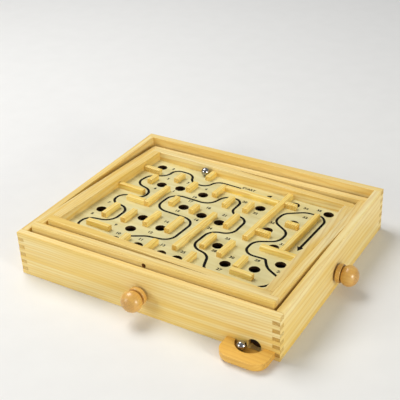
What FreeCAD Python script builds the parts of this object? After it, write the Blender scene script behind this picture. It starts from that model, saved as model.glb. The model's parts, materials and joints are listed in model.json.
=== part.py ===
import FreeCAD, Part
import math
import os
import re
import Sketcher

from FreeCAD import Placement, Rotation, Vector

# Tilt maze game: a wooden casing holds two nested frames.  The outer frame
# rocks front to back, the maze tray inside it rocks left to right, and a
# knob on a steel shaft drives each of them through a string.
# Origin: centre of the casing's underside, X right, Y back, Z up.

DRIVING_SIZES = {
    "box_length": 275, "box_width": 230, "box_height": 46.2, "wall": 7,
    "finger": 4.1, "finger_setback": 0.3, "joint_easing": 0.4,
    "shaft_radius": 1.75, "bore_radius": 1.82, "blind_bore": 4,
    "side_shaft_height": 18.3, "front_shaft_height": 22.3,
    "arch_centre": 113.7, "arch_radius": 6.65, "arch_sill": 3.9, "arch_spring": 8.25,
    "floor_thickness": 3, "floor_low": 4.2, "floor_gap": 0.3, "cleat_width": 8,
    "slope_along": 1.03, "slope_across": 0.8,
    "catch_left": 87.7, "catch_right": 133, "catch_depth": 23, "catch_height": 9,
    "catch_corner": 12.5, "catch_underside": 4.3,
    "pocket_centre": 109.8, "pocket_inset": 1.5, "pocket_radius": 13.8, "pocket_floor": 3.9,
    "pivot_height": 39.3, "frame_tilt": 3.93, "tray_tilt": 2.16,
    "pin_radius": 1.25, "pin_hole_radius": 1.3, "pin_depth": 5, "pin_grip": 4,
    "pin_recess": 1.2, "recess_radius": 2.1,
    "frame_length": 255.8, "frame_width": 211.6, "rail": 8.5, "frame_top": 5,
    "frame_depth": 11, "frame_corner": 2.4,
    "tray_length": 233.6, "tray_width": 189.6, "tray_top": 5.4, "tray_depth": 12.6,
    "board_thickness": 3, "strip": 5.4, "strip_height": 5.5, "strip_easing": 0.9,
    "hole_radius": 5.25, "ball_radius": 4.5,
    "head_radius": 10.1, "head_half_length": 8.8, "head_centre": 12.9, "head_back": -45.7,
    "neck_radius": 4.5, "knob_bore": 14,
    "collar_radius": 9.1, "collar_thickness": 4.4, "collar_easing": 0.9, "collar_gap": 1.9,
    "retainer_radius": 4, "retainer_thickness": 0.8, "retainer_gap": 0.25,
    "string_radius": 0.4, "winding_length": 3.6, "winding_gap": 0.5,
    "tack_radius": 0.6, "tack_head_radius": 1.3, "tack_head": 0.5, "tack_drop": 3.3,
    "tack_grip": 4, "spring_radius": 1.7,
}

# Frame string: distance right of the centre line.  Tray string: distance
# in front of it, just beside the side shaft.
FRAME_STRING_X = 9
TRAY_STRING_Y = -6
STRING_FLAT = 5
SPRING_SPAN = (0.58, 0.73)

# Maze strips in the tray's own plan: (centre x, first y, last y) for those
# that run front to back, (first x, last x, centre y) for those across.
RAIL_INNER_Y = 86.3
RAIL_INNER_X = 108.3
LONG_STRIPS_ALONG = [
    (-84.25, -50, -25.5), (-63.25, -48, -26.5), (-62.25, -9, 31.5), (-15.25, 44, 67),
    (5.25, -64, 10.5), (-17.25, -42, -14.5), (-41.25, -43, -17.5), (24.75, -4, 20.5),
    (24.75, -48, -24.5), (45.25, -52, -25.5), (50.75, -13, RAIL_INNER_Y),
    (90.75, -16, 63.5), (25.75, -RAIL_INNER_Y, -62.5), (-15.25, -RAIL_INNER_Y, -62.5),
]
LONG_STRIPS_ACROSS = [
    (-90, -64, -67.5), (66, 88, -67.5), (-86, -65, -6.5), (-RAIL_INNER_X, -78, 10.5),
    (-12.5, 48, 64.5), (70.5, RAIL_INNER_X, -18.7),
]
MIDDLE_BLOCKS_ALONG = [
    (-43.25, 39, 55.5), (25.75, 33, 49.5), (3.75, 31, 49.5), (67.75, -63, -42.5),
    (-42.25, -RAIL_INNER_Y, -68.5),
]
MIDDLE_BLOCKS_ACROSS = [(-RAIL_INNER_X, -88, 57.5)]
SHORT_BLOCKS_ALONG = [
    (-86.25, 33, 46.5), (-64.25, 50, 64.5), (-42.25, 4, 18.5), (-17.25, 2, 15.5),
    (-39.25, 72, RAIL_INNER_Y),
]
SHORT_BLOCKS_ACROSS = [(53.5, 68, 4.5), (53.5, 66, 67), (71, 84, 33)]

BOARD_HOLES = [
    (-95.5, 72), (-74.3, 38), (-54, 41.5), (-27.3, 42.5), (-30.3, 9.7),
    (-7, 5.3), (14.5, 2.7), (34.7, 50), (75, 41.5), (60, 15.7),
    (79, -9.3), (97, 76.3), (97.7, -32.3), (81.5, -51.7), (55.2, -58.2),
    (34.4, -35), (-27, -37), (-52, -30), (-50.3, -53.5), (-95.5, -38),
    (-52.5, -77.5), (-28, -75), (-2.6, -75), (14.3, -74.5), (60.5, 75.5),
]

LOOSE_BALL = (-47.5, 81.5)
CAUGHT_BALL = (104.4, -119.8)

doc = FreeCAD.newDocument("TiltMaze")
sheet = doc.addObject("Spreadsheet::Sheet", "dims")
for row, (alias, number) in enumerate(DRIVING_SIZES.items(), start=1):
    sheet.set("A%d" % row, alias)
    sheet.set("B%d" % row, str(number))
    sheet.setAlias("B%d" % row, alias)
doc.recompute()

parts = []


def size(alias):
    """The number that the sheet holds under this alias."""
    return float(getattr(sheet, alias))


def cells(formula):
    """The formula with each alias written as its cell of the sheet."""
    return re.sub(r"[a-z_]+", lambda word: "dims." + word.group(), formula)


def bind(target, **formulas):
    """Drive the properties of one object from formulas over the sheet."""
    for name, formula in formulas.items():
        target.setExpression(name, cells(formula))


# ---- helpers for bodies and sketches ---------------------------------------

def new_body(label, placement):
    body = doc.addObject("PartDesign::Body", label)
    body.Label = label
    body.AllowCompound = True
    body.Placement = placement
    parts.append(body)
    return body


def attach(feature, body, role, shift):
    """Hold a feature on one of its body's own planes, shifted by formulas."""
    planes = [plane for plane in body.Origin.OriginFeatures if plane.Role == role]
    feature.AttachmentSupport = [(planes[0], "")]
    feature.MapMode = "FlatFace"
    for axis, formula in zip("xyz", shift):
        feature.setExpression("AttachmentOffset.Base." + axis, cells(formula))


def new_sketch(body, role, shift=("0", "0", "0")):
    sketch = body.newObject("Sketcher::SketchObject", body.Name + "_sketch")
    attach(sketch, body, role, shift)
    return sketch


def add_rectangle(sketch, width, depth):
    """A rectangle centred on the sketch's origin."""
    corners = [Vector(-5, -5), Vector(5, -5), Vector(5, 5), Vector(-5, 5)]
    first = sketch.GeometryCount
    for start, end in zip(corners, corners[1:] + corners[:1]):
        sketch.addGeometry(Part.LineSegment(start, end))
    for side in range(4):
        sketch.addConstraint(
            Sketcher.Constraint("Coincident", first + side, 2, first + (side + 1) % 4, 1))
    for side, direction in enumerate(("Horizontal", "Vertical", "Horizontal", "Vertical")):
        sketch.addConstraint(Sketcher.Constraint(direction, first + side))
    sketch.addConstraint(Sketcher.Constraint("Symmetric", first, 1, first + 1, 2, -1, 1))
    across = sketch.addConstraint(Sketcher.Constraint("DistanceX", first, 1, first, 2, 10))
    along = sketch.addConstraint(
        Sketcher.Constraint("DistanceY", first + 1, 1, first + 1, 2, 10))
    sketch.setExpression("Constraints[%d]" % across, cells(width))
    sketch.setExpression("Constraints[%d]" % along, cells(depth))


def add_circle(sketch, radius, centre=(0, 0)):
    circle = sketch.addGeometry(Part.Circle(Vector(*centre), Vector(0, 0, 1), 3))
    limit = sketch.addConstraint(Sketcher.Constraint("Radius", circle, 3))
    sketch.setExpression("Constraints[%d]" % limit, cells(radius))
    return circle


def pad(body, sketch, length):
    feature = body.newObject("PartDesign::Pad", body.Name + "_pad")
    feature.Profile = sketch
    bind(feature, Length=length)
    sketch.Visibility = False
    return feature


def pocket(body, sketch, length, reverse=False):
    """Cut the sketch into the body and check that something was removed."""
    doc.recompute()
    before = body.Shape.Volume
    feature = body.newObject("PartDesign::Pocket", body.Name + "_pocket")
    feature.Profile = sketch
    feature.Reversed = reverse
    bind(feature, Length=length)
    sketch.Visibility = False
    doc.recompute()
    if body.Shape.Volume > before - 0.01:
        raise RuntimeError("a pocket of %s cuts nothing" % body.Label)
    return feature


def round_edges(body, base, names, radius):
    feature = body.newObject("PartDesign::Fillet", body.Name + "_easing")
    feature.Base = (base, names)
    bind(feature, Radius=radius)
    return feature


def long_edges(shape, shortest):
    """Names of the straight edges at least this long."""
    return ["Edge%d" % number for number, edge in enumerate(shape.Edges, start=1)
            if edge.Length >= shortest]


def top_faces(shape):
    """Names of the faces that lie at the shape's greatest height."""
    height = shape.BoundBox.ZMax
    return ["Face%d" % number for number, face in enumerate(shape.Faces, start=1)
            if face.BoundBox.ZMin > height - 0.01]


def turned(angle):
    return Placement(Vector(), Rotation(Vector(0, 0, 1), angle))


# ---- casing: four finger-jointed panels ------------------------------------

# Sockets in a row at each end of a panel, counted from the bottom.
SOCKETS = 5


def panel(label, angle, length, across, setback, first_finger, top_notch):
    """One wall of the casing.  It is drawn as the front one and turned.
    Its fingers may stop short of the faces that they reach."""
    body = new_body(label, turned(angle))
    inner_face = "%s / 2 - wall" % across
    outline = new_sketch(body, "XZ_Plane", ("0", "box_height / 2", inner_face))
    add_rectangle(outline, "%s - %s * 2" % (length, setback), "box_height")
    blank = pad(body, outline, "wall")
    doc.recompute()
    round_edges(body, blank, long_edges(blank.Shape, 100), "joint_easing")
    doc.recompute()
    for side in ("", "-"):
        shift = "%s(%s / 2 - wall / 2)" % (side, length)
        ends = new_sketch(body, "XZ_Plane", (shift, "finger * %s" % first_finger, inner_face))
        add_rectangle(ends, "wall + 0.001", "finger")
        socket = pocket(body, ends, "wall", reverse=True)
        row = body.newObject("PartDesign::LinearPattern", label + "_row")
        row.Originals = [socket]
        row.Direction = (ends, ["V_Axis"])
        bind(row, Length="finger * %d" % (2 * SOCKETS - 2))
        row.Occurrences = SOCKETS
        body.Tip = row
        doc.recompute()
        if top_notch:
            above = "finger * %d" % (2 * SOCKETS)
            notch = new_sketch(body, "XZ_Plane",
                               (shift, "(box_height + %s) / 2" % above, inner_face))
            add_rectangle(notch, "wall + 0.001", "box_height - %s" % above)
            pocket(body, notch, "wall", reverse=True)
    return body, inner_face


def drill(body, height, inner_face, radius, depth):
    """A round hole from the panel's inner face, on its centre line."""
    sketch = new_sketch(body, "XZ_Plane", ("0", height, inner_face))
    add_circle(sketch, radius)
    pocket(body, sketch, depth, reverse=True)


LONG_PANEL = dict(length="box_length", across="box_width", setback="0",
                  first_finger="1.5", top_notch=False)
SIDE_PANEL = dict(length="box_width", across="box_length", setback="finger_setback",
                  first_finger="0.5", top_notch=True)

front_panel, front_face = panel("front_panel", 0, **LONG_PANEL)
back_panel, back_face = panel("back_panel", 180, **LONG_PANEL)
right_panel, right_face = panel("right_panel", 90, **SIDE_PANEL)
left_panel, left_face = panel("left_panel", -90, **SIDE_PANEL)
drill(front_panel, "front_shaft_height", front_face, "bore_radius", "wall")
drill(back_panel, "front_shaft_height", back_face, "bore_radius", "blind_bore")
drill(right_panel, "side_shaft_height", right_face, "bore_radius", "wall")
drill(left_panel, "side_shaft_height", left_face, "bore_radius", "blind_bore")
for side_panel, face in ((right_panel, right_face), (left_panel, left_face)):
    drill(side_panel, "pivot_height", face, "pin_radius", "pin_grip")

# The ball's way out: a round-topped arch low in the front panel.
arch_round = new_sketch(front_panel, "XZ_Plane", ("arch_centre", "arch_spring", front_face))
add_circle(arch_round, "arch_radius")
pocket(front_panel, arch_round, "wall", reverse=True)
arch_foot = new_sketch(
    front_panel, "XZ_Plane",
    ("arch_centre", "(arch_spring + arch_sill) / 2", front_face))
add_rectangle(arch_foot, "arch_radius * 2", "arch_spring - arch_sill")
pocket(front_panel, arch_foot, "wall", reverse=True)


# ---- casing: sloping floor, its cleats and the catch tray -------------------

def block(label, length, width, height, place):
    """A plain box whose sizes are formulas."""
    box = doc.addObject("Part::Box", label)
    bind(box, Length=length, Width=width, Height=height)
    box.Placement = place
    return box


inner_length = size("box_length") - 2 * size("wall") - 2 * size("floor_gap")
inner_width = size("box_width") - 2 * size("wall") - 2 * size("floor_gap")
slope = Rotation(Vector(0, 1, 0), size("slope_along")).multiply(
    Rotation(Vector(1, 0, 0), size("slope_across")))
low_corner = Vector(inner_length / 2, -inner_width / 2, size("floor_low"))


def sloping_slab(label, thickness, rise):
    """A slab wider than the casing that lies in the floor's slope."""
    start = Vector(-size("box_length"), -size("box_width") / 4, rise)
    place = Placement(low_corner + slope.multVec(start), slope)
    return block(label, "box_length * 1.2", "box_width * 1.5", thickness, place)


floor_slab = sloping_slab("floor_slab", "floor_thickness", -size("floor_thickness"))
floor_outline = block(
    "floor_outline", "box_length - wall * 2 - floor_gap * 2",
    "box_width - wall * 2 - floor_gap * 2", "box_height",
    Placement(Vector(-inner_length / 2, -inner_width / 2, 0), Rotation()))
sloping_floor = doc.addObject("Part::Common", "sloping_floor")
sloping_floor.Base = floor_outline
sloping_floor.Tool = floor_slab
parts.append(sloping_floor)

inner_half = size("box_length") / 2 - size("wall")
for label, left in (("left_floor_cleat", -inner_half),
                    ("right_floor_cleat", inner_half - size("cleat_width"))):
    stick = block(label + "_stick", "cleat_width", "box_width - wall * 2", "box_height",
                  Placement(Vector(left, -size("box_width") / 2 + size("wall"), 0),
                            Rotation()))
    above = sloping_slab(label + "_above", "box_height * 2", -size("floor_thickness"))
    cleat = doc.addObject("Part::Cut", label)
    cleat.Base = stick
    cleat.Tool = above
    parts.append(cleat)

catch_tray = new_body("catch_tray", Placement())
catch_plan = new_sketch(
    catch_tray, "XY_Plane",
    ("(catch_left + catch_right) / 2", "-box_width / 2 - catch_depth / 2", "0"))
add_rectangle(catch_plan, "catch_right - catch_left", "catch_depth")
catch_block = pad(catch_tray, catch_plan, "catch_height")
doc.recompute()
front_y = -size("box_width") / 2 - size("catch_depth")
outer_corners = ["Edge%d" % number
                 for number, edge in enumerate(catch_block.Shape.Edges, start=1)
                 if edge.BoundBox.YMax < front_y + 0.01 and edge.BoundBox.ZLength > 1]
catch_round = round_edges(catch_tray, catch_block, outer_corners, "catch_corner")
doc.recompute()
free_low_edges = ["Edge%d" % number
                  for number, edge in enumerate(catch_round.Shape.Edges, start=1)
                  if edge.BoundBox.ZMax < 0.01 and edge.BoundBox.YMin < -size("box_width") / 2 - 1]
catch_under = round_edges(catch_tray, catch_round, free_low_edges, "catch_underside")
doc.recompute()
round_edges(catch_tray, catch_under, top_faces(catch_under.Shape), "joint_easing")
catch_cup = new_sketch(
    catch_tray, "XY_Plane",
    ("pocket_centre", "-box_width / 2 + pocket_inset", "catch_height"))
add_circle(catch_cup, "pocket_radius")
pocket(catch_tray, catch_cup, "catch_height - pocket_floor")


# ---- the two rocking frames --------------------------------------------------

frame_place = Placement(Vector(0, 0, size("pivot_height")),
                        Rotation(Vector(1, 0, 0), -size("frame_tilt")))
tray_place = frame_place.multiply(
    Placement(Vector(), Rotation(Vector(0, 1, 0), size("tray_tilt"))))


def bar(label, place, centre, length, width, bottom, height, easing, outer_side=None):
    """A straight bar with eased long edges, set by the centre of its plan.
    The upright edges on its outer side are rounded, if it has one."""
    body = new_body(label, place)
    plan = new_sketch(body, "XY_Plane", (centre[0], centre[1], bottom))
    add_rectangle(plan, length, width)
    blank = pad(body, plan, height)
    doc.recompute()
    if outer_side:
        corners = ["Edge%d" % number for number, edge in enumerate(blank.Shape.Edges, start=1)
                   if edge.BoundBox.ZLength > 1 and edge.BoundBox.Center.y * outer_side
                   > blank.Shape.BoundBox.Center.y * outer_side]
        blank = round_edges(body, blank, corners, "frame_corner")
        doc.recompute()
    names = long_edges(blank.Shape, 0.7 * max(blank.Shape.BoundBox.XLength,
                                              blank.Shape.BoundBox.YLength))
    round_edges(body, blank, names, easing)
    doc.recompute()
    return body


def rail_frame(name, place, length, width, top, height):
    """Front and back rails run right through and the side rails butt in."""
    rails = []
    bottom = "%s - %s" % (top, height)
    for side, sign, outer_side in (("front", "-", -1), ("back", "", 1)):
        rails.append(bar(
            "%s_%s_rail" % (name, side), place,
            ("0", "%s(%s / 2 - rail / 2)" % (sign, width)),
            length, "rail", bottom, height, "joint_easing", outer_side))
    for side, sign in (("left", "-"), ("right", "")):
        rails.append(bar(
            "%s_%s_rail" % (name, side), place,
            ("%s(%s / 2 - rail / 2)" % (sign, length), "0"),
            "rail", "%s - rail * 2" % width, bottom, height, "joint_easing"))
    return rails


def cross_drill(body, role, shift, radius, depth, reverse):
    sketch = new_sketch(body, role, shift)
    add_circle(sketch, radius)
    pocket(body, sketch, depth, reverse)


outer = rail_frame("outer", frame_place, "frame_length", "frame_width",
                   "frame_top", "frame_depth")
tray = rail_frame("tray", tray_place, "tray_length", "tray_width",
                  "tray_top", "tray_depth")
outer_front, outer_back, outer_left, outer_right = outer
tray_front, tray_back = tray[:2]

# Pivot holes.  The normal of the XZ plane points to the front.
cross_drill(outer_left, "YZ_Plane", ("0", "0", "-frame_length / 2"),
            "pin_hole_radius", "pin_depth", True)
cross_drill(outer_right, "YZ_Plane", ("0", "0", "frame_length / 2"),
            "pin_hole_radius", "pin_depth", False)
for rail_body, sign, inward in ((outer_front, "", False), (outer_back, "-", True)):
    face = sign + "(frame_width / 2)"
    cross_drill(rail_body, "XZ_Plane", ("0", "0", face), "pin_radius", "rail", inward)
    cross_drill(rail_body, "XZ_Plane", ("0", "0", face), "recess_radius",
                "pin_recess", inward)
for rail_body, sign, inward in ((tray_front, "", False), (tray_back, "-", True)):
    cross_drill(rail_body, "XZ_Plane", ("0", "0", sign + "(tray_width / 2)"),
                "pin_hole_radius", "pin_depth", inward)


# ---- maze board and strips ---------------------------------------------------

maze_board = new_body("maze_board", tray_place)
board_plan = new_sketch(maze_board, "XY_Plane", ("0", "0", "tray_top - tray_depth"))
add_rectangle(board_plan, "tray_length - rail * 2", "tray_width - rail * 2")
pad(maze_board, board_plan, "board_thickness")
board_holes = new_sketch(maze_board, "XY_Plane",
                         ("0", "0", "tray_top - tray_depth + board_thickness"))
for hole in BOARD_HOLES:
    add_circle(board_holes, "hole_radius", hole)
pocket(maze_board, board_holes, "board_thickness")


def strips(label, along, across):
    """Glued strips of the maze, all of one stock, in one node."""
    body = new_body(label, tray_place)
    plans = [(x, (first + last) / 2, "strip", last - first) for x, first, last in along]
    plans += [((first + last) / 2, y, last - first, "strip") for first, last, y in across]
    for x, y, length, width in plans:
        plan = new_sketch(body, "XY_Plane",
                          (str(x), str(y), "tray_top - tray_depth + board_thickness"))
        add_rectangle(plan, str(length), str(width))
        pad(body, plan, "strip_height")
        doc.recompute()
    tip = body.Tip
    round_edges(body, tip, top_faces(tip.Shape), "strip_easing")


single_strips = [([strip], []) for strip in LONG_STRIPS_ALONG]
single_strips += [([], [strip]) for strip in LONG_STRIPS_ACROSS]
for number, (along, across) in enumerate(single_strips, start=1):
    strips("maze_strip_%02d" % number, along, across)
strips("middle_maze_blocks", MIDDLE_BLOCKS_ALONG, MIDDLE_BLOCKS_ACROSS)
strips("short_maze_blocks", SHORT_BLOCKS_ALONG, SHORT_BLOCKS_ACROSS)


# ---- round pieces ------------------------------------------------------------

def rods(radius, length, places):
    """Plain round bars of one size, each from its start along its own Z."""
    bars = []
    for place in places:
        round_bar = doc.addObject("Part::Cylinder", "round_bar")
        bind(round_bar, Radius=radius, Height=length)
        round_bar.Placement = place
        bars.append(round_bar)
    return bars


def single(label, piece):
    piece.Label = label
    parts.append(piece)


def group(label, pieces):
    compound = doc.addObject("Part::Compound", label)
    compound.Links = pieces
    parts.append(compound)


def ring(label, place, start, outer, inner, length, easing=None):
    """A washer-like piece that starts at a distance along its own axis."""
    body = new_body(label, place)
    plan = new_sketch(body, "XY_Plane", ("0", "0", start))
    add_circle(plan, outer)
    add_circle(plan, inner)
    blank = pad(body, plan, length)
    if easing:
        doc.recompute()
        rims = ["Edge%d" % number for number, edge in enumerate(blank.Shape.Edges, start=1)
                if edge.Closed and edge.Curve.Radius > size(inner) + 0.01]
        round_edges(body, blank, rims, easing)
    return body


TO_RIGHT = Rotation(Vector(0, 1, 0), 90)
TO_LEFT = Rotation(Vector(0, 1, 0), -90)
TO_FRONT = Rotation(Vector(1, 0, 0), 90)
TO_BACK = Rotation(Vector(1, 0, 0), -90)

half_length = size("box_length") / 2
half_width = size("box_width") / 2
pin_end = half_length - size("wall") + size("pin_grip")
group("frame_pivot_pins", rods(
    "pin_radius", "(box_length - frame_length) / 2 - wall + pin_grip + pin_depth - 0.5",
    [Placement(Vector(-pin_end, 0, size("pivot_height")), TO_RIGHT),
     Placement(Vector(pin_end, 0, size("pivot_height")), TO_LEFT)]))
pin_start = size("frame_width") / 2 - size("pin_recess")
group("tray_pivot_pins", rods(
    "pin_radius", "(frame_width - tray_width) / 2 - pin_recess + pin_depth - 0.5",
    [frame_place.multiply(Placement(Vector(0, -pin_start, 0), TO_BACK)),
     frame_place.multiply(Placement(Vector(0, pin_start, 0), TO_FRONT))]))

# Each drive is laid out along its own Z, from the outside of its panel.
side_axis = Placement(Vector(half_length, 0, size("side_shaft_height")), TO_RIGHT)
front_axis = Placement(Vector(0, -half_width, size("front_shaft_height")), TO_FRONT)


def knob(label, place):
    """A turned wooden knob: a ball on a short neck, bored blind.  The ball is
    cut flat where it faces the collar, at the latitude head_back."""
    body = new_body(label, place)
    neck = body.newObject("PartDesign::AdditiveCylinder", label + "_neck")
    attach(neck, body, "XY_Plane", ("0", "0", "collar_gap + collar_thickness"))
    bind(neck, Radius="neck_radius", Height="head_centre - collar_gap - collar_thickness")
    head = body.newObject("PartDesign::AdditiveEllipsoid", label + "_head")
    attach(head, body, "XY_Plane", ("0", "0", "head_centre"))
    bind(head, Radius1="head_half_length", Radius2="head_radius", Radius3="head_radius",
         Angle1="head_back")
    bore = body.newObject("PartDesign::SubtractiveCylinder", label + "_bore")
    attach(bore, body, "XY_Plane", ("0", "0", "0"))
    bind(bore, Radius="shaft_radius", Height="knob_bore")


def drive(name, place, across, winding_centre):
    """Shaft, knob, collar, retainer and winding of one of the two drives."""
    reach = "(%s - wall + blind_bore - 0.2)" % across
    far_end = place.multiply(Placement(Vector(0, 0, -size(across) + size("wall")
                                              - size("blind_bore") + 0.2), Rotation()))
    single(name + "_shaft", rods("shaft_radius", reach + " + knob_bore", [far_end])[0])
    knob(name + "_knob", place)
    ring(name + "_knob_collar", place, "collar_gap", "collar_radius", "shaft_radius",
         "collar_thickness", "collar_easing")
    ring(name + "_shaft_retainer", place, "-wall - retainer_gap - retainer_thickness",
         "retainer_radius", "shaft_radius", "retainer_thickness")
    ring(name + "_string_winding", place, "%s - winding_length / 2" % winding_centre,
         "shaft_radius + string_radius * 2", "shaft_radius", "winding_length")


# ---- strings, springs and tacks ----------------------------------------------

winding_radius = size("shaft_radius") + 2 * size("string_radius")
below_winding = winding_radius + size("winding_gap") + size("string_radius")
tray_shaft = tray_place.inverse().multVec(Vector(0, 0, size("front_shaft_height")))
frame_low = size("side_shaft_height") - size("pivot_height") - below_winding
tray_rise = TRAY_STRING_Y * (-size("frame_tilt")) * math.pi / 180
tray_low = tray_shaft.z - abs(tray_rise) - below_winding


def string_tube(points):
    """A round tube along straight runs that tangent arcs join."""
    edges = []
    start = points[0]
    for before, corner, after in zip(points, points[1:], points[2:]):
        incoming = corner - before
        outgoing = after - corner
        cut = 0.45 * min(incoming.Length, outgoing.Length)
        arc_start = corner - incoming.normalize() * cut
        arc_end = corner + outgoing.normalize() * cut
        bisector = ((arc_start + arc_end) * 0.5 - corner).normalize()
        half_turn = incoming.getAngle(outgoing) / 2
        radius = cut / math.tan(half_turn)
        middle = corner + bisector * (radius / math.cos(half_turn) - radius)
        edges.append(Part.LineSegment(start, arc_start).toShape())
        edges.append(Part.Arc(arc_start, middle, arc_end).toShape())
        start = arc_end
    edges.append(Part.LineSegment(start, points[-1]).toShape())
    path = Part.Wire(edges)
    first_run = points[1] - points[0]
    section = Part.Circle(points[0], first_run, size("string_radius"))
    tube = path.makePipeShell([Part.Wire([section.toShape()])], True, True)
    expected = path.Length * math.pi * size("string_radius") ** 2
    if abs(tube.Volume - expected) > 0.02 * expected:
        raise RuntimeError("a string's volume does not match its length")
    return tube


def taut_string(name, place, point, reach, rail_bottom, low):
    """String, spring and tacks under one frame.  point() turns a distance
    along the string and a height into a place in that frame."""
    hold = rail_bottom - 0.7 * size("tack_drop")
    stop = reach - size("tack_radius")
    ramp_start = point(STRING_FLAT, low)
    ramp = point(stop, hold) - ramp_start
    spring_start = ramp_start + ramp * SPRING_SPAN[0]
    spring_end = ramp_start + ramp * SPRING_SPAN[1]
    tubes = [string_tube([point(-stop, hold), point(-STRING_FLAT, low), ramp_start,
                          spring_start]),
             string_tube([spring_end, point(stop, hold)])]
    string = doc.addObject("Part::Feature", name + "_string")
    string.Label = name + "_string"
    string.Shape = Part.makeCompound(tubes)
    string.Placement = place
    parts.append(string)
    coil = doc.addObject("Part::Cylinder", name + "_string_spring")
    bind(coil, Radius="spring_radius")
    coil.Height = (spring_end - spring_start).Length
    coil.Placement = place.multiply(Placement(spring_start, Rotation(Vector(0, 0, 1), ramp)))
    parts.append(coil)
    shanks = []
    for side in (-reach, reach):
        top = point(side, rail_bottom + size("tack_grip"))
        shanks += rods("tack_radius", "tack_grip + tack_drop",
                       [place.multiply(Placement(top, Rotation(Vector(1, 0, 0), 180)))])
        cap = point(side, rail_bottom - size("tack_drop"))
        shanks += rods("tack_head_radius", "tack_head",
                       [place.multiply(Placement(cap, Rotation(Vector(1, 0, 0), 180)))])
    group(name + "_string_tacks", shanks)


taut_string("frame", frame_place, lambda along, height: Vector(FRAME_STRING_X, along, height),
            (size("frame_width") - size("rail")) / 2,
            size("frame_top") - size("frame_depth"), frame_low)
taut_string("tray", tray_place, lambda along, height: Vector(along, TRAY_STRING_Y, height),
            (size("tray_length") - size("rail")) / 2,
            size("tray_top") - size("tray_depth"), tray_low)

tray_string_y = tray_place.multVec(Vector(0, TRAY_STRING_Y, tray_low)).y
drive("side", side_axis, "box_length", "%s - box_length / 2" % FRAME_STRING_X)
drive("front", front_axis, "box_width", "%s - box_width / 2" % round(-tray_string_y, 3))


# ---- balls -------------------------------------------------------------------

def ball(label, centre):
    sphere = doc.addObject("Part::Sphere", label)
    bind(sphere, Radius="ball_radius")
    sphere.Placement = Placement(centre, Rotation())
    parts.append(sphere)


board_top = size("tray_top") - size("tray_depth") + size("board_thickness")
resting = size("ball_radius") + 0.02
ball("maze_ball", tray_place.multVec(Vector(*LOOSE_BALL, board_top + resting)))
ball("caught_ball", Vector(*CAUGHT_BALL, size("pocket_floor") + resting))


# ---- check everything, then write one file for each node ---------------------

doc.recompute()
for item in doc.Objects:
    if "Invalid" in item.State or "Error" in item.State:
        raise RuntimeError("%s is %s" % (item.Label, item.State))
for piece in parts:
    if piece.Shape.isNull() or not piece.Shape.isValid():
        raise RuntimeError("%s has no valid shape" % piece.Label)
os.makedirs("parts", exist_ok=True)
for piece in parts:
    piece.Shape.exportStep("parts/%s.step" % piece.Label)
    print("%-26s %2d solids %12.2f mm3" % (piece.Label, len(piece.Shape.Solids),
                                           piece.Shape.Volume))
print(len(parts), "nodes")
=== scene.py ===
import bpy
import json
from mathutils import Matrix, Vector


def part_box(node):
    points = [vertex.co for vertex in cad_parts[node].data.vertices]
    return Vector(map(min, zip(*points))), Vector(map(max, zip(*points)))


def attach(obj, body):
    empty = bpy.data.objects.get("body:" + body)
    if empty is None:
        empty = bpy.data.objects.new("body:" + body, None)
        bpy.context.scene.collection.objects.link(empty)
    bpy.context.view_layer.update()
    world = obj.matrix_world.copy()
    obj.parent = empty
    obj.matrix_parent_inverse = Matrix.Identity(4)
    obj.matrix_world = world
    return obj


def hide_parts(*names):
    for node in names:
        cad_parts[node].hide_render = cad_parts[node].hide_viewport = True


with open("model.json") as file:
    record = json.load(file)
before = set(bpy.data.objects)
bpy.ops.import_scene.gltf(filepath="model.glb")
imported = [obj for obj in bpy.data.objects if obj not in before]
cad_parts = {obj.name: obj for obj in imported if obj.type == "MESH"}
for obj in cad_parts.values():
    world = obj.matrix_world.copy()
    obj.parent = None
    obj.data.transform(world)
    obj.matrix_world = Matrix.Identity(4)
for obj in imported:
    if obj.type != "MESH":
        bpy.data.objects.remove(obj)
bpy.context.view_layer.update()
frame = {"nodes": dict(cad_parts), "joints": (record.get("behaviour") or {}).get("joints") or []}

from fnmatch import fnmatch
import json
import math

import bpy
from mathutils import Matrix, Vector

# A wooden tilt maze.  The CAD nodes carry every wooden and steel part; this
# script gives them their materials, prints the board, winds the strings and
# the springs, and sets the light and the camera.

MM = 0.001
NODES = frame["nodes"]
JOINTS = {joint["name"]: joint for joint in frame["joints"]}

bpy.context.scene.view_settings.view_transform = "Standard"


# ---- the two tilted frames ----------------------------------------------------

def level_turn(joint):
    """The turn, in radians, that would bring a frame level: the middle of its range."""
    low, high = JOINTS[joint]["range_deg"]
    return math.radians((low + high) / 2)


PIVOT = Matrix.Translation(Vector(JOINTS["outer_tilt"]["pos_m"]))
OUTER = PIVOT @ Matrix.Rotation(-level_turn("outer_tilt"), 4, "X")
TRAY = OUTER @ Matrix.Rotation(-level_turn("tray_tilt"), 4, "Y")


def levelled(node, place):
    """The points of a node in the level coordinates of its frame."""
    level = place.inverted()
    return [level @ vertex.co for vertex in NODES[node].data.vertices]


BOARD_TOP = max(point.z for point in levelled("maze_board", TRAY))


# ---- node materials -----------------------------------------------------------

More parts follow.
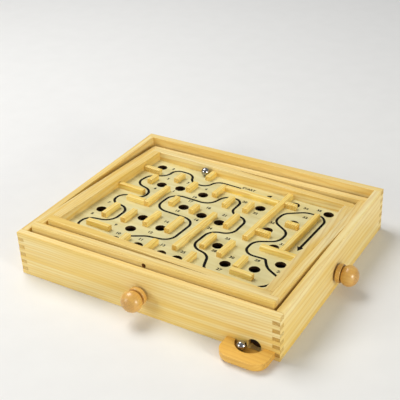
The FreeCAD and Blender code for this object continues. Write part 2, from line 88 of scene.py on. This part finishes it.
class Shader:
    """One node material.  Each method adds a node and returns its output."""

    def __init__(self, name):
        self.material = bpy.data.materials.new(name)
        self.material.use_nodes = True
        self.tree = self.material.node_tree
        self.tree.nodes.clear()
        self.surface = self.tree.nodes.new("ShaderNodeBsdfPrincipled")
        output = self.tree.nodes.new("ShaderNodeOutputMaterial")
        self.tree.links.new(self.surface.outputs[0], output.inputs[0])
        coords = self.tree.nodes.new("ShaderNodeTexCoord")
        self.place = coords.outputs["Object"]
        self.normal = coords.outputs["Normal"]

    def node(self, kind, output=0, inputs=(), **settings):
        made = self.tree.nodes.new(kind)
        for key, value in settings.items():
            setattr(made, key, value)
        for key, value in dict(inputs).items():
            self.feed(made.inputs[key], value)
        return made.outputs[output]

    def feed(self, socket, value):
        if isinstance(value, bpy.types.NodeSocket):
            self.tree.links.new(value, socket)
        else:
            socket.default_value = value

    def set(self, **values):
        """Set the surface's own sockets; an underscore stands for a space."""
        for key, value in values.items():
            self.feed(self.surface.inputs[key.replace("_", " ")], value)

    def math(self, operation, first, second=0.0):
        return self.node("ShaderNodeMath", inputs={0: first, 1: second},
                         operation=operation)

    def scaled(self, first, factor, offset=0.0):
        """A number times a factor, plus an offset."""
        return self.node("ShaderNodeMath", inputs={0: first, 1: factor, 2: offset},
                         operation="MULTIPLY_ADD")

    def vector(self, operation, first, second):
        return self.node("ShaderNodeVectorMath", inputs={0: first, 1: second},
                         operation=operation)

    def stretched(self, vector, along, across):
        """Coordinates for a pattern that is long in X, the direction of the grain."""
        return self.vector("MULTIPLY", vector, (along, across, across))

    def mix(self, share, first, second, blend="MIX"):
        return self.node("ShaderNodeMix", 2, {0: share, 6: first, 7: second},
                         data_type="RGBA", blend_type=blend)

    def noise(self, vector, scale=1.0, detail=2.0, roughness=0.5):
        return self.node("ShaderNodeTexNoise", inputs={
            "Vector": vector, "Scale": scale, "Detail": detail, "Roughness": roughness})

    def ramp(self, factor, *stops):
        """A grey ramp through (position, brightness) stops."""
        made = self.tree.nodes.new("ShaderNodeValToRGB")
        self.feed(made.inputs[0], factor)
        elements = made.color_ramp.elements
        while len(elements) < len(stops):
            elements.new(0.5)
        for element, (position, grey) in zip(elements, stops):
            element.position = position
            element.color = (grey, grey, grey, 1)
        return made.outputs[0]

    def bump(self, height, distance, strength, normal=None):
        inputs = {"Height": height, "Distance": distance, "Strength": strength}
        if normal is not None:
            inputs["Normal"] = normal
        return self.node("ShaderNodeBump", inputs=inputs)


def colour(red, green, blue):
    """A colour given as it looks on screen, 0 to 255, as the shader's linear value."""
    return tuple((part / 255) ** 2.2 for part in (red, green, blue)) + (1.0,)


# ---- wood -----------------------------------------------------------------------

GRAIN_TURN = {"X": (0, 0, 0), "Y": (0, 0, -math.pi / 2)}
LOG_LEAN = (0.0, 0.020, 0.013)
RECESS_RADIUS = 2.15 * MM
RECESS_DEPTH = 1.25 * MM
# Painted shade: the dark brown given to the pin recesses of the outer frame.
RECESS_SHADE_BROWN = colour(136, 90, 32)


def own_grain(shader, grain, chance):
    """Coordinates with the grain along X, moved so that no two pieces look the same."""
    along = shader.node("ShaderNodeMapping", inputs={
        "Vector": shader.place, "Rotation": GRAIN_TURN[grain]})
    shift = shader.node("ShaderNodeCombineXYZ", inputs={
        0: shader.math("MULTIPLY", chance, 3.1),
        1: shader.scaled(chance, 0.9, 0.5),
        2: shader.math("SINE", shader.math("MULTIPLY", chance, 40.0))})
    return shader.vector("ADD", along, shader.stretched(shift, 1.0, 0.35))


def growth_rings(shader, own, ring_gap):
    """Rings about a log centre that lies off the board, with a slow waver."""
    slow = shader.noise(shader.stretched(own, 3.0, 16.0))
    waver = shader.vector("MULTIPLY", shader.vector("SUBTRACT", slow, (0.5, 0.5, 0.5)),
                          (0.0, 0.011, 0.011))
    log = shader.node("ShaderNodeMapping", inputs={
        "Vector": shader.vector("ADD", own, waver), "Rotation": LOG_LEAN})
    return shader.node("ShaderNodeTexWave", 1, {
        "Vector": log, "Scale": math.pi / 10 / ring_gap, "Distortion": 1.6,
        "Detail": 2.0, "Detail Scale": 0.5},
        wave_type="RINGS", rings_direction="X", wave_profile="SAW")


def end_grain(shader, grain, own, body, end_tone):
    """Where a face cuts the fibres: that share, and the wood there, darker and porous."""
    turned = shader.node("ShaderNodeMapping", inputs={
        "Vector": shader.normal, "Rotation": GRAIN_TURN[grain]})
    facing = shader.node("ShaderNodeSeparateXYZ", 0, {0: turned})
    is_end = shader.ramp(shader.math("ABSOLUTE", facing), (0.70, 0.0), (0.85, 1.0))
    pores = shader.ramp(shader.noise(own, 1400.0, 1.0), (0.45, 0.75), (0.6, 1.0))
    end = shader.mix(1.0, body, end_tone, "MULTIPLY")
    end = shader.mix(1.0, end, pores, "MULTIPLY")
    return is_end, shader.mix(is_end, body, end)


def painted_recess_shade(shader, body):
    """Painted shade: the two pin recesses on the outer frame's Y axis are coloured dark brown.
    """
    level = OUTER.inverted()
    rail_face = max(abs(point.y) for point in levelled("outer_front_rail", OUTER))
    place = shader.node("ShaderNodeMapping", inputs={
        "Vector": shader.place, "Location": level.translation, "Rotation": level.to_euler()})
    off_axis = shader.vector("MULTIPLY", place, (1.0, 0.0, 1.0))
    distance = shader.node("ShaderNodeVectorMath", 1, {0: off_axis}, operation="LENGTH")
    outward = shader.math("ABSOLUTE", shader.node("ShaderNodeSeparateXYZ", 1, {0: place}))
    in_recess = shader.math(
        "MULTIPLY", shader.math("LESS_THAN", distance, RECESS_RADIUS),
        shader.math("GREATER_THAN", outward, rail_face - RECESS_DEPTH))
    return shader.mix(in_recess, body, RECESS_SHADE_BROWN)


def wood(name, grain, pale, warm, line, ring_gap, rings, end_tone, streaks=0.75,
         fineness=130.0, roughness=0.46, coat=0.22, blotch=0.5, shade_recesses=False):
    """Sawn wood with its growth rings: long lines on the faces, arcs on the ends."""
    shader = Shader(name)
    chance = shader.node("ShaderNodeObjectInfo", 5)
    own = own_grain(shader, grain, chance)
    ring_wave = growth_rings(shader, own, ring_gap)
    late_wood = shader.ramp(ring_wave, (0.0, 0.10), (0.45, 0.05), (0.90, 0.85), (1.0, 0.25))

    bands = shader.noise(shader.stretched(own, 2.6, fineness), 1.0, 3.0, 0.6)
    fibre = shader.noise(shader.stretched(own, 28.0, 1100.0), 1.0, 3.0, 0.6)
    patch = shader.noise(shader.stretched(own, 7.0, 30.0), 1.0, 3.0)
    fleck = shader.noise(shader.stretched(own, 60.0, 1500.0), 1.0, 1.0)

    # Each layer: how much of it, and its colour; then two tints over them all.
    tone = shader.ramp(bands, (0.38, 0.0), (0.62, 1.0))
    patches = shader.ramp(patch, (0.35, 0.0), (0.7, 1.0))
    flecks = shader.ramp(fleck, (0.66, 0.0), (0.74, 1.0))
    body = shader.mix(shader.math("MULTIPLY", tone, streaks), pale, warm)
    body = shader.mix(shader.math("MULTIPLY", late_wood, rings), body, line)
    body = shader.mix(shader.math("MULTIPLY", patches, blotch), body, warm)
    body = shader.mix(shader.math("MULTIPLY", fibre, 0.20), body, (0.78, 0.70, 0.58, 1.0),
                      "MULTIPLY")
    body = shader.mix(shader.math("MULTIPLY", flecks, 0.18), body, line)
    body = shader.mix(shader.math("MULTIPLY", chance, 0.5), body, (0.93, 0.88, 0.78, 1.0),
                      "MULTIPLY")
    is_end, body = end_grain(shader, grain, own, body, end_tone)
    # Painted shade: where asked for, the pin recesses are coloured dark brown.
    if shade_recesses:
        body = painted_recess_shade(shader, body)

    shader.set(Base_Color=body, Coat_Weight=coat, Coat_Roughness=0.28)
    shader.set(Roughness=shader.math("ADD", shader.scaled(is_end, 0.2),
                                     shader.scaled(fibre, 0.16, roughness)))
    ridges = shader.bump(ring_wave, 0.05 * MM, 0.35)
    shader.set(Normal=shader.bump(fibre, 0.05 * MM, 0.5, ridges))
    return shader.material


# ---- the other materials ----------------------------------------------------------

def plywood_board():
    """Birch plywood: close, pale face veneer with faint cloudy figure."""
    shader = Shader("maze_board_veneer")
    grain = shader.noise(shader.stretched(shader.place, 6.0, 150.0), 1.0, 4.0, 0.6)
    pores = shader.noise(shader.stretched(shader.place, 60.0, 1800.0))
    clouds = shader.ramp(shader.noise(shader.place, 16.0, 3.0), (0.4, 0.0), (0.7, 1.0))
    body = shader.mix(shader.ramp(grain, (0.35, 0.0), (0.7, 1.0)),
                      colour(234, 227, 176), colour(218, 205, 142))
    body = shader.mix(shader.math("MULTIPLY", clouds, 0.4), body, colour(227, 209, 136))
    body = shader.mix(shader.math("MULTIPLY", pores, 0.12), body, (0.70, 0.60, 0.45, 1.0),
                      "MULTIPLY")
    # Faces that stand upright on the board, the hole walls and the board's edges, are coloured
    # dark brown.
    square = TRAY.to_3x3() @ Vector((0, 0, 1))
    upright = shader.node("ShaderNodeVectorMath", 1, {0: shader.normal, 1: square},
                          operation="DOT_PRODUCT")
    dark_walls = shader.ramp(shader.math("ABSOLUTE", upright), (0.3, 1.0), (0.6, 0.0))
    body = shader.mix(dark_walls, body, shader.mix(pores, colour(52, 36, 22), colour(86, 60, 36)))
    shader.set(Base_Color=body, Coat_Weight=0.15, Coat_Roughness=0.3)
    shader.set(Roughness=shader.scaled(pores, 0.15, 0.45))
    shader.set(Normal=shader.bump(pores, 0.03 * MM, 0.4))
    return shader.material


def steel(name, tint, roughness, scratch_scale):
    """Bright metal with fine scratches and faint smudges."""
    shader = Shader(name)
    scratches = shader.noise(
        shader.vector("MULTIPLY", shader.place, (1.0, 6.0, 1.0)), scratch_scale, 4.0, 0.65)
    smudge = shader.noise(shader.place, 220.0)
    dulled = tuple(part * 0.7 for part in tint[:3]) + (1.0,)
    shader.set(Base_Color=shader.mix(shader.math("MULTIPLY", smudge, 0.25), tint, dulled))
    shader.set(Metallic=1.0, Roughness=shader.scaled(scratches, roughness, roughness * 0.5))
    shader.set(Normal=shader.bump(scratches, 0.01 * MM, 0.3))
    return shader.material


def cord_fibre():
    """Twisted nylon string: slanting strands and a soft fuzz."""
    shader = Shader("twisted_string")
    twist = shader.node("ShaderNodeTexWave", 1, {
        "Vector": shader.vector("MULTIPLY", shader.place, (1.0, 1.0, 1.6)), "Scale": 420.0,
        "Distortion": 1.5}, wave_type="BANDS", bands_direction="DIAGONAL")
    fuzz = shader.noise(shader.place, 5000.0)
    body = shader.mix(twist, colour(196, 186, 160), colour(236, 230, 212))
    body = shader.mix(shader.math("MULTIPLY", fuzz, 0.3), body, colour(150, 138, 112))
    shader.set(Base_Color=body, Roughness=shader.scaled(fuzz, 0.2, 0.65))
    shader.set(Normal=shader.bump(twist, 0.08 * MM, 0.6), Sheen_Weight=0.3)
    return shader.material


def printing_ink():
    """Matt screen ink, thinner where the veneer's pores drink it."""
    shader = Shader("black_ink")
    cover = shader.noise(shader.stretched(shader.place, 60.0, 900.0), 1.0, 3.0, 0.6)
    worn = shader.ramp(cover, (0.5, 0.0), (0.8, 1.0))
    shader.set(Base_Color=shader.mix(worn, colour(14, 11, 8), colour(40, 31, 22)))
    shader.set(Roughness=shader.scaled(cover, 0.3, 0.55), Specular_IOR_Level=0.15)
    shader.set(Normal=shader.bump(cover, 0.02 * MM, 0.4))
    return shader.material


# ---- which node gets which material -------------------------------------------------

PINE = dict(pale=colour(249, 234, 176), warm=colour(237, 198, 88), line=colour(208, 152, 58))
CASING_LONG = dict(PINE, ring_gap=2.3 * MM, rings=0.42, end_tone=(0.90, 0.82, 0.66, 1.0))
CASING_SIDE = dict(PINE, ring_gap=5.0 * MM, rings=0.45, end_tone=(0.76, 0.62, 0.40, 1.0))
CASING_LEFT = dict(CASING_SIDE, end_tone=(0.94, 0.85, 0.72, 1.0))
RAIL = dict(PINE, ring_gap=2.6 * MM, rings=0.45, end_tone=(0.96, 0.90, 0.80, 1.0))
STRIP = dict(pale=colour(253, 238, 160), warm=colour(247, 213, 98), line=colour(222, 156, 60),
             ring_gap=1.9 * MM, rings=0.62, end_tone=(0.98, 0.86, 0.68, 1.0),
             fineness=480.0, streaks=0.85, blotch=0.35)
BLOCK = dict(STRIP, end_tone=(0.99, 0.92, 0.80, 1.0))
CATCH_TRAY = dict(pale=colour(240, 198, 104), warm=colour(232, 178, 70),
                  line=colour(204, 138, 44), ring_gap=3.0 * MM, rings=0.45,
                  end_tone=(0.95, 0.9, 0.8, 1.0))
FLOOR = dict(pale=colour(84, 60, 38), warm=colour(66, 45, 27), line=colour(48, 32, 19),
             ring_gap=9.0 * MM, rings=0.1, end_tone=(0.80, 0.64, 0.44, 1.0),
             roughness=0.55, coat=0.0)
BEECH = dict(pale=colour(230, 188, 104), warm=colour(216, 162, 78), line=colour(186, 124, 52),
             ring_gap=2.4 * MM, rings=0.30, end_tone=(0.95, 0.9, 0.82, 1.0),
             roughness=0.26, coat=0.6)

LOOKS = {
    "casing_x": wood("casing_pine_long", "X", **CASING_LONG),
    "casing_y": wood("casing_pine_side", "Y", **CASING_SIDE),
    "casing_left": wood("casing_pine_left", "Y", **CASING_LEFT),
    "catch": wood("catch_tray_pine", "X", **CATCH_TRAY),
    "floor": wood("floor_hardboard", "X", **FLOOR),
    # The long rails carry the painted shade in their pin recesses.
    "rail_x": wood("rail_pine_long", "X", shade_recesses=True, **RAIL),
    "rail_y": wood("rail_pine_side", "Y", **RAIL),
    "strip_x": wood("strip_pine_across", "X", **STRIP),
    "strip_y": wood("strip_pine_along", "Y", **STRIP),
    "block": wood("block_pine", "Y", **BLOCK),
    "knob_x": wood("knob_beech_side", "X", **BEECH),
    "knob_y": wood("knob_beech_front", "Y", **BEECH),
    "board": plywood_board(),
    "ball": steel("polished_ball", (0.42, 0.41, 0.41, 1.0), 0.06, 900.0),
    "hardware": steel("drawn_steel", (0.52, 0.51, 0.50, 1.0), 0.5, 2600.0),
    "pins": steel("browned_steel", (0.19, 0.10, 0.035, 1.0), 0.8, 2600.0),
    "string": cord_fibre(),
}

# The first pattern that a node's name fits; {lie} is the direction of its grain.
NODE_LOOKS = [
    ("left_panel", "casing_left"), ("*_panel", "casing_{lie}"), ("catch_tray", "catch"),
    ("*floor*", "floor"), ("*_rail", "rail_{lie}"), ("maze_strip*", "strip_{lie}"),
    ("*maze_blocks", "block"), ("side_knob*", "knob_x"), ("front_knob*", "knob_y"),
    ("maze_board", "board"), ("*_ball", "ball"), ("*_string", "string"),
    ("*_winding", "string"), ("*_pins", "pins"), ("*", "hardware"),
]


def paint_nodes():
    """Give every CAD node its material; the grain runs along each piece."""
    for name, node in NODES.items():
        low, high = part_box(name)
        wide = high - low
        lie = "x" if wide.x > wide.y else "y"
        look = next(look for pattern, look in NODE_LOOKS if fnmatch(name, pattern))
        node.data.materials.clear()
        node.data.materials.append(LOOKS[look.format(lie=lie)])


paint_nodes()


# ---- mesh helpers ---------------------------------------------------------------

def new_piece(name, vertices, faces, look, body, slot):
    """A mesh piece in the part's frame that rides on a CAD body."""
    mesh = bpy.data.meshes.new(name)
    mesh.from_pydata(vertices, [], faces)
    mesh.materials.append(look)
    mesh.update()
    piece = bpy.data.objects.new(name, mesh)
    bpy.context.scene.collection.objects.link(piece)
    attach(piece, body)
    return piece


def tube(points, radius, sides=12):
    """Vertices and faces of a closed round tube along the points."""
    vertices, faces = [], []
    reference = Vector((0.137, 0.431, 0.892)).normalized()
    for index, point in enumerate(points):
        before = points[max(index - 1, 0)]
        after = points[min(index + 1, len(points) - 1)]
        run = (after - before).normalized()
        reference = (reference - run * reference.dot(run)).normalized()
        other = run.cross(reference)
        for side in range(sides):
            angle = 2 * math.pi * side / sides
            vertices.append(point + (reference * math.cos(angle)
                                     + other * math.sin(angle)) * radius)
    for ring in range(len(points) - 1):
        for side in range(sides):
            here = ring * sides + side
            beside = ring * sides + (side + 1) % sides
            faces.append((here, beside, beside + sides, here + sides))
    last = (len(points) - 1) * sides
    faces.append(tuple(reversed(range(sides))))
    faces.append(tuple(range(last, last + sides)))
    return vertices, faces


def smooth(piece):
    for face in piece.data.polygons:
        face.use_smooth = True


# ---- printing on the maze board --------------------------------------------------

INK = printing_ink()
INK_LIFT = 0.01 * MM
INK_THICKNESS = 0.05 * MM
LINE_WIDTH = 2.6
BEND = 13.0
ARROW_POINT = 6.5
ARROW_BACK = 1.0
ARROW_HALF_WIDTH = 3.4
MARK_LENGTH = 5.0
LETTER_SIZE = 5.0
LETTER_BOLDNESS = 0.17

# Corners of the printed route in the board's plan, in millimetres, from START
# to the arrow.  A third number is the radius of a bend other than BEND.
ROUTE = [
    (-1.5, 76.6), (-30, 76.6), (-33.5, 59), (-52.5, 60), (-58, 75.5), (-80, 75.5),
    (-80.5, 57.5), (-97, 48.5), (-99, 27), (-76, 21.5), (-74.5, 1.5), (-97.5, 1),
    (-97.5, -20.5), (-74, -21), (-73.5, -52), (-98, -58), (-98.5, -74), (-88, -82),
    (-46.2, -84.8, 2.5), (-46.2, -67.2, 5), (-30, -56.5), (-7, -52), (-6.3, -7),
    (-54, -6.8), (-54, 28.2), (-12, 28.5), (-6, 54), (13, 54), (13.5, 24.5),
    (35, 23.5), (35.5, -10.5), (15, -15), (14, -49), (35, -53.5), (41.5, -73),
    (50, -80), (92, -79), (103.5, -68), (105, -52, 3), (89.5, -43.5, 22),
    (82, -31.5, 1.5), (59.3, -33), (58.3, -10), (78.5, 3), (78.8, 21.5), (58, 34.5),
    (59, 53.5), (76, 67.5), (93, 69.5), (100, 61), (100, 4),
]
START_MARK = (28.0, 77.2)
LABELS = [
    (-83.5, 75.5, "2"), (-54, 57, "3"), (-31, 55, "4"), (-76, 53, "5"),
    (-75.5, 27.5, "6"), (-97.5, -23, "7"), (-98, -50, "8"), (-66, -55.5, "9"),
    (-55, -67, "10"), (-31, -64.5, "11"), (-31, -49, "12"), (-8.5, -62, "13"),
    (-29, -24, "14"), (-31.5, 0, "15"), (-7, -5, "16"), (-31, 24, "17"),
    (-9, 22, "18"), (-32, 33.5, "19"), (15.5, 53, "20"), (12, 18, "21"),
    (35, 38.5, "22"), (36, -19, "23"), (12, -11.5, "24"), (13.5, -62, "25"),
    (102, -43.5, "26"), (55, -69, "27"), (36, -44.5, "28"), (77, -37.5, "29"),
    (55, -45.5, "30"), (83.5, 0, "31"), (57.5, 31, "32"), (80, 58, "33"),
    (73, 75, "34"), (86, 78.5, "35"), (-56.5, 33, "1"), (6.2, 79.4, "START"),
]


def rounded_route(corners, bend):
    """The corners joined by straight runs and arcs."""
    line = [Vector(corners[0][:2])]
    for before, corner, after in zip(corners, corners[1:], corners[2:]):
        radius = corner[2] if len(corner) > 2 else bend
        here = Vector(corner[:2])
        back = Vector(before[:2]) - here
        ahead = Vector(after[:2]) - here
        half = back.angle(ahead) / 2
        cut = min(radius / math.tan(half), 0.48 * back.length, 0.48 * ahead.length)
        back.normalize()
        ahead.normalize()
        centre = here + (back + ahead).normalized() * cut / math.cos(half)
        start = here + back * cut - centre
        sweep = start.angle_signed(here + ahead * cut - centre)
        steps = max(4, int(abs(sweep) / math.radians(6)))
        for step in range(steps + 1):
            turn = Matrix.Rotation(-sweep * step / steps, 2)
            line.append(centre + turn @ start)
    line.append(Vector(corners[-1][:2]))
    return line


def on_board(x, y, lift):
    return TRAY @ Vector((x * MM, y * MM, BOARD_TOP + lift))


def flat_shape(outline):
    """Vertices and faces of a thin closed plate, from its outline in the plan."""
    count = len(outline)
    vertices = [on_board(x, y, lift) for lift in (INK_LIFT, INK_LIFT + INK_THICKNESS)
                for x, y in outline]
    faces = [tuple(reversed(range(count))), tuple(range(count, 2 * count))]
    faces += [(i, (i + 1) % count, count + (i + 1) % count, count + i)
              for i in range(count)]
    return vertices, faces


def ribbon(line, width):
    """Vertices and faces of a thin closed band along a line in the plan."""
    vertices, faces = [], []
    for index, point in enumerate(line):
        run = line[min(index + 1, len(line) - 1)] - line[max(index - 1, 0)]
        side = Vector((-run.y, run.x)).normalized() * width / 2
        for lift in (INK_LIFT, INK_LIFT + INK_THICKNESS):
            for edge in (point + side, point - side):
                vertices.append(on_board(edge.x, edge.y, lift))
    for index in range(len(line) - 1):
        at = 4 * index
        to = at + 4
        faces += [(at + 2, at + 3, to + 3, to + 2), (at + 1, at, to, to + 1),
                  (at, at + 2, to + 2, to), (at + 3, at + 1, to + 1, to + 3)]
    end = 4 * (len(line) - 1)
    faces += [(0, 1, 3, 2), (end + 2, end + 3, end + 1, end)]
    return vertices, faces


def without_repeats(line, gap=0.05):
    kept = [line[0]]
    for point in line[1:]:
        if (point - kept[-1]).length > gap:
            kept.append(point)
    return kept


def print_route():
    """The path line, the arrow at its end and the small mark beside START."""
    line = without_repeats(rounded_route(ROUTE, BEND))
    new_piece("printed_route", *ribbon(line, LINE_WIDTH), INK, "maze_tray", "board_wood")
    end_x, end_y = ROUTE[-1]
    arrow = [(end_x, end_y - ARROW_POINT), (end_x + ARROW_HALF_WIDTH, end_y + ARROW_BACK),
             (end_x - ARROW_HALF_WIDTH, end_y + ARROW_BACK)]
    new_piece("printed_arrow", *flat_shape(arrow), INK, "maze_tray", "board_wood")
    mark_x, mark_y = START_MARK
    mark = [(mark_x + MARK_LENGTH, mark_y - ARROW_HALF_WIDTH),
            (mark_x + MARK_LENGTH, mark_y + ARROW_HALF_WIDTH), START_MARK]
    new_piece("printed_start_mark", *flat_shape(mark), INK, "maze_tray", "board_wood")


def print_labels():
    """Plain hole numbers and START as one thin raised print."""
    vertices, faces = [], []
    for x, y, words in LABELS:
        text = bpy.data.curves.new("label", "FONT")
        text.body = words
        text.size = LETTER_SIZE
        text.align_x = "CENTER"
        text.align_y = "CENTER"
        text.resolution_u = 3
        text.extrude = INK_THICKNESS / MM / 2
        text.offset = LETTER_BOLDNESS
        holder = bpy.data.objects.new("label", text)
        bpy.context.scene.collection.objects.link(holder)
        bpy.context.view_layer.update()
        mesh = bpy.data.meshes.new_from_object(
            holder.evaluated_get(bpy.context.evaluated_depsgraph_get()))
        first = len(vertices)
        for vertex in mesh.vertices:
            spot = vertex.co
            lift = INK_LIFT + INK_THICKNESS / 2 + spot.z * MM
            vertices.append(on_board(x + spot.x, y + spot.y, lift))
        faces += [tuple(first + corner for corner in face.vertices)
                  for face in mesh.polygons]
        bpy.data.objects.remove(holder)
        bpy.data.meshes.remove(mesh)
        bpy.data.curves.remove(text)
    new_piece("printed_numbers", vertices, faces, INK, "maze_tray", "board_wood")


print_route()
print_labels()


# ---- strings and springs -----------------------------------------------------------

STRING_RADIUS = 0.38 * MM
STRING_TURNS = 4
SPRING_WIRE = 0.28 * MM
SPRING_RADIUS = 1.35 * MM
SPRING_TURNS = 14
SPRING_BODY = 0.62
SPRING_LEAD = 0.12
RIM = 0.6 * MM


def helix(centre, axis, radius, length, turns, steps=28):
    """Points of a coil about an axis, centred on a point."""
    across = axis.orthogonal().normalized()
    other = axis.cross(across)
    points = []
    for step in range(int(turns * steps) + 1):
        share = step / (turns * steps)
        angle = 2 * math.pi * turns * share
        points.append(centre + axis * length * (share - 0.5)
                      + (across * math.cos(angle) + other * math.sin(angle)) * radius)
    return points


def wind_strings():
    """Each CAD winding ring becomes the turns of its string."""
    for side, axis, body in (("side", Vector((1, 0, 0)), "side_drive"),
                             ("front", Vector((0, 1, 0)), "front_drive")):
        node = side + "_string_winding"
        low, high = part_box(node)
        length = (high - low).dot(axis) - 2 * STRING_RADIUS
        radius = (high - low).z / 2 - STRING_RADIUS
        points = helix((low + high) / 2, axis, radius, length, STRING_TURNS)
        piece = new_piece(side + "_string_turns", *tube(points, STRING_RADIUS),
                          LOOKS["string"], body, "string_cord")
        smooth(piece)
        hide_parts(node)


def coil_springs():
    """Each CAD spring cylinder becomes a close-wound tension spring with straight leads."""
    for name, body, place in (("frame", "outer_frame", OUTER), ("tray", "maze_tray", TRAY)):
        node = name + "_string_spring"
        spots = levelled(node, place)
        run = 1 if name == "frame" else 0
        ends = []
        for extreme in (min(spot[run] for spot in spots), max(spot[run] for spot in spots)):
            rim = [spot for spot in spots if abs(spot[run] - extreme) < RIM]
            ends.append(sum(rim, Vector()) / len(rim))
        axis = ends[1] - ends[0]
        length = axis.length
        axis.normalize()
        lead = axis * length * SPRING_LEAD
        first = ends[0] + axis * SPRING_WIRE
        last = ends[1] - axis * SPRING_WIRE
        coil = helix((ends[0] + ends[1]) / 2, axis, SPRING_RADIUS, length * SPRING_BODY,
                     SPRING_TURNS, 20)
        points = [first, first + lead] + coil + [last - lead, last]
        vertices, faces = tube([place @ point for point in points], SPRING_WIRE, 8)
        piece = new_piece(name + "_spring_coil", vertices, faces, LOOKS["hardware"], body,
                          "hardware_steel")
        smooth(piece)
        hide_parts(node)


wind_strings()
coil_springs()


# ---- floor, light and camera ---------------------------------------------------------

FLOOR_REACH = 4.0
LIGHT_AIM = Vector((0, 0, 0.03))
SKY = (0.93, 0.96, 1.0, 1.0)
SKY_STRENGTH = 0.31

# Each light: its place, its size across, its power and its tint.
LIGHTS = {
    "key": ((-0.7, 0.1, 1.3), 0.9, 14.9, (1.0, 0.98, 0.96)),
    "right_fill": ((1.55, -0.5, 0.44), 0.45, 12.6, (1.0, 0.97, 0.86)),
    "front_fill": ((-1.0, -1.5, 0.60), 0.7, 11.1, (1.0, 0.97, 0.88)),
}

# The camera looks back along these angles, in degrees, at this point of the part.
CAMERA_AZIMUTH = 31.843
CAMERA_ELEVATION = 30.846
CAMERA_ROLL = -2.508
CAMERA_TARGET = Vector((-27.785, 42.063, 27.3)) * MM
CAMERA_DISTANCE = 0.90581
CAMERA_LENS = 79.68
CAMERA_SHIFT = -0.0071


def pale_floor():
    mesh = bpy.data.meshes.new("floor")
    mesh.from_pydata([(-FLOOR_REACH, -FLOOR_REACH, 0), (FLOOR_REACH, -FLOOR_REACH, 0),
                      (FLOOR_REACH, FLOOR_REACH, 0), (-FLOOR_REACH, FLOOR_REACH, 0)],
                     [], [(0, 1, 2, 3)])
    shader = Shader("pale_floor")
    grain = shader.noise(shader.place, 40.0, 3.0)
    shader.set(Base_Color=shader.mix(grain, (0.80, 0.80, 0.79, 1), (0.84, 0.84, 0.83, 1)))
    shader.set(Roughness=0.7)
    mesh.materials.append(shader.material)
    floor = bpy.data.objects.new("floor", mesh)
    bpy.context.scene.collection.objects.link(floor)


def studio():
    """A soft sky and three round area lights."""
    world = bpy.data.worlds.new("studio")
    bpy.context.scene.world = world
    world.use_nodes = True
    background = world.node_tree.nodes["Background"]
    background.inputs["Color"].default_value = SKY
    background.inputs["Strength"].default_value = SKY_STRENGTH
    for name, (place, size, power, tint) in LIGHTS.items():
        light = bpy.data.lights.new(name, "AREA")
        light.shape = "DISK"
        light.size = size
        light.energy = power
        light.color = tint
        lamp = bpy.data.objects.new(name, light)
        bpy.context.scene.collection.objects.link(lamp)
        lamp.location = place
        lamp.rotation_euler = (LIGHT_AIM - Vector(place)).to_track_quat("-Z", "Y").to_euler()


def camera():
    azimuth = math.radians(CAMERA_AZIMUTH)
    elevation = math.radians(CAMERA_ELEVATION)
    roll = math.radians(CAMERA_ROLL)
    back = Vector((math.sin(azimuth) * math.cos(elevation),
                   -math.cos(azimuth) * math.cos(elevation), math.sin(elevation)))
    level = Vector((math.cos(azimuth), math.sin(azimuth), 0))
    upright = back.cross(level)
    right = level * math.cos(roll) + upright * math.sin(roll)
    up = upright * math.cos(roll) - level * math.sin(roll)
    data = bpy.data.cameras.new("camera")
    data.sensor_width = 36.0
    data.lens = CAMERA_LENS
    data.shift_x = CAMERA_SHIFT
    data.clip_start = 0.01
    eye = bpy.data.objects.new("camera", data)
    place = Matrix((right, up, back)).transposed().to_4x4()
    place.translation = CAMERA_TARGET + back * CAMERA_DISTANCE
    eye.matrix_world = place
    bpy.context.scene.collection.objects.link(eye)
    bpy.context.scene.camera = eye


pale_floor()
studio()
camera()
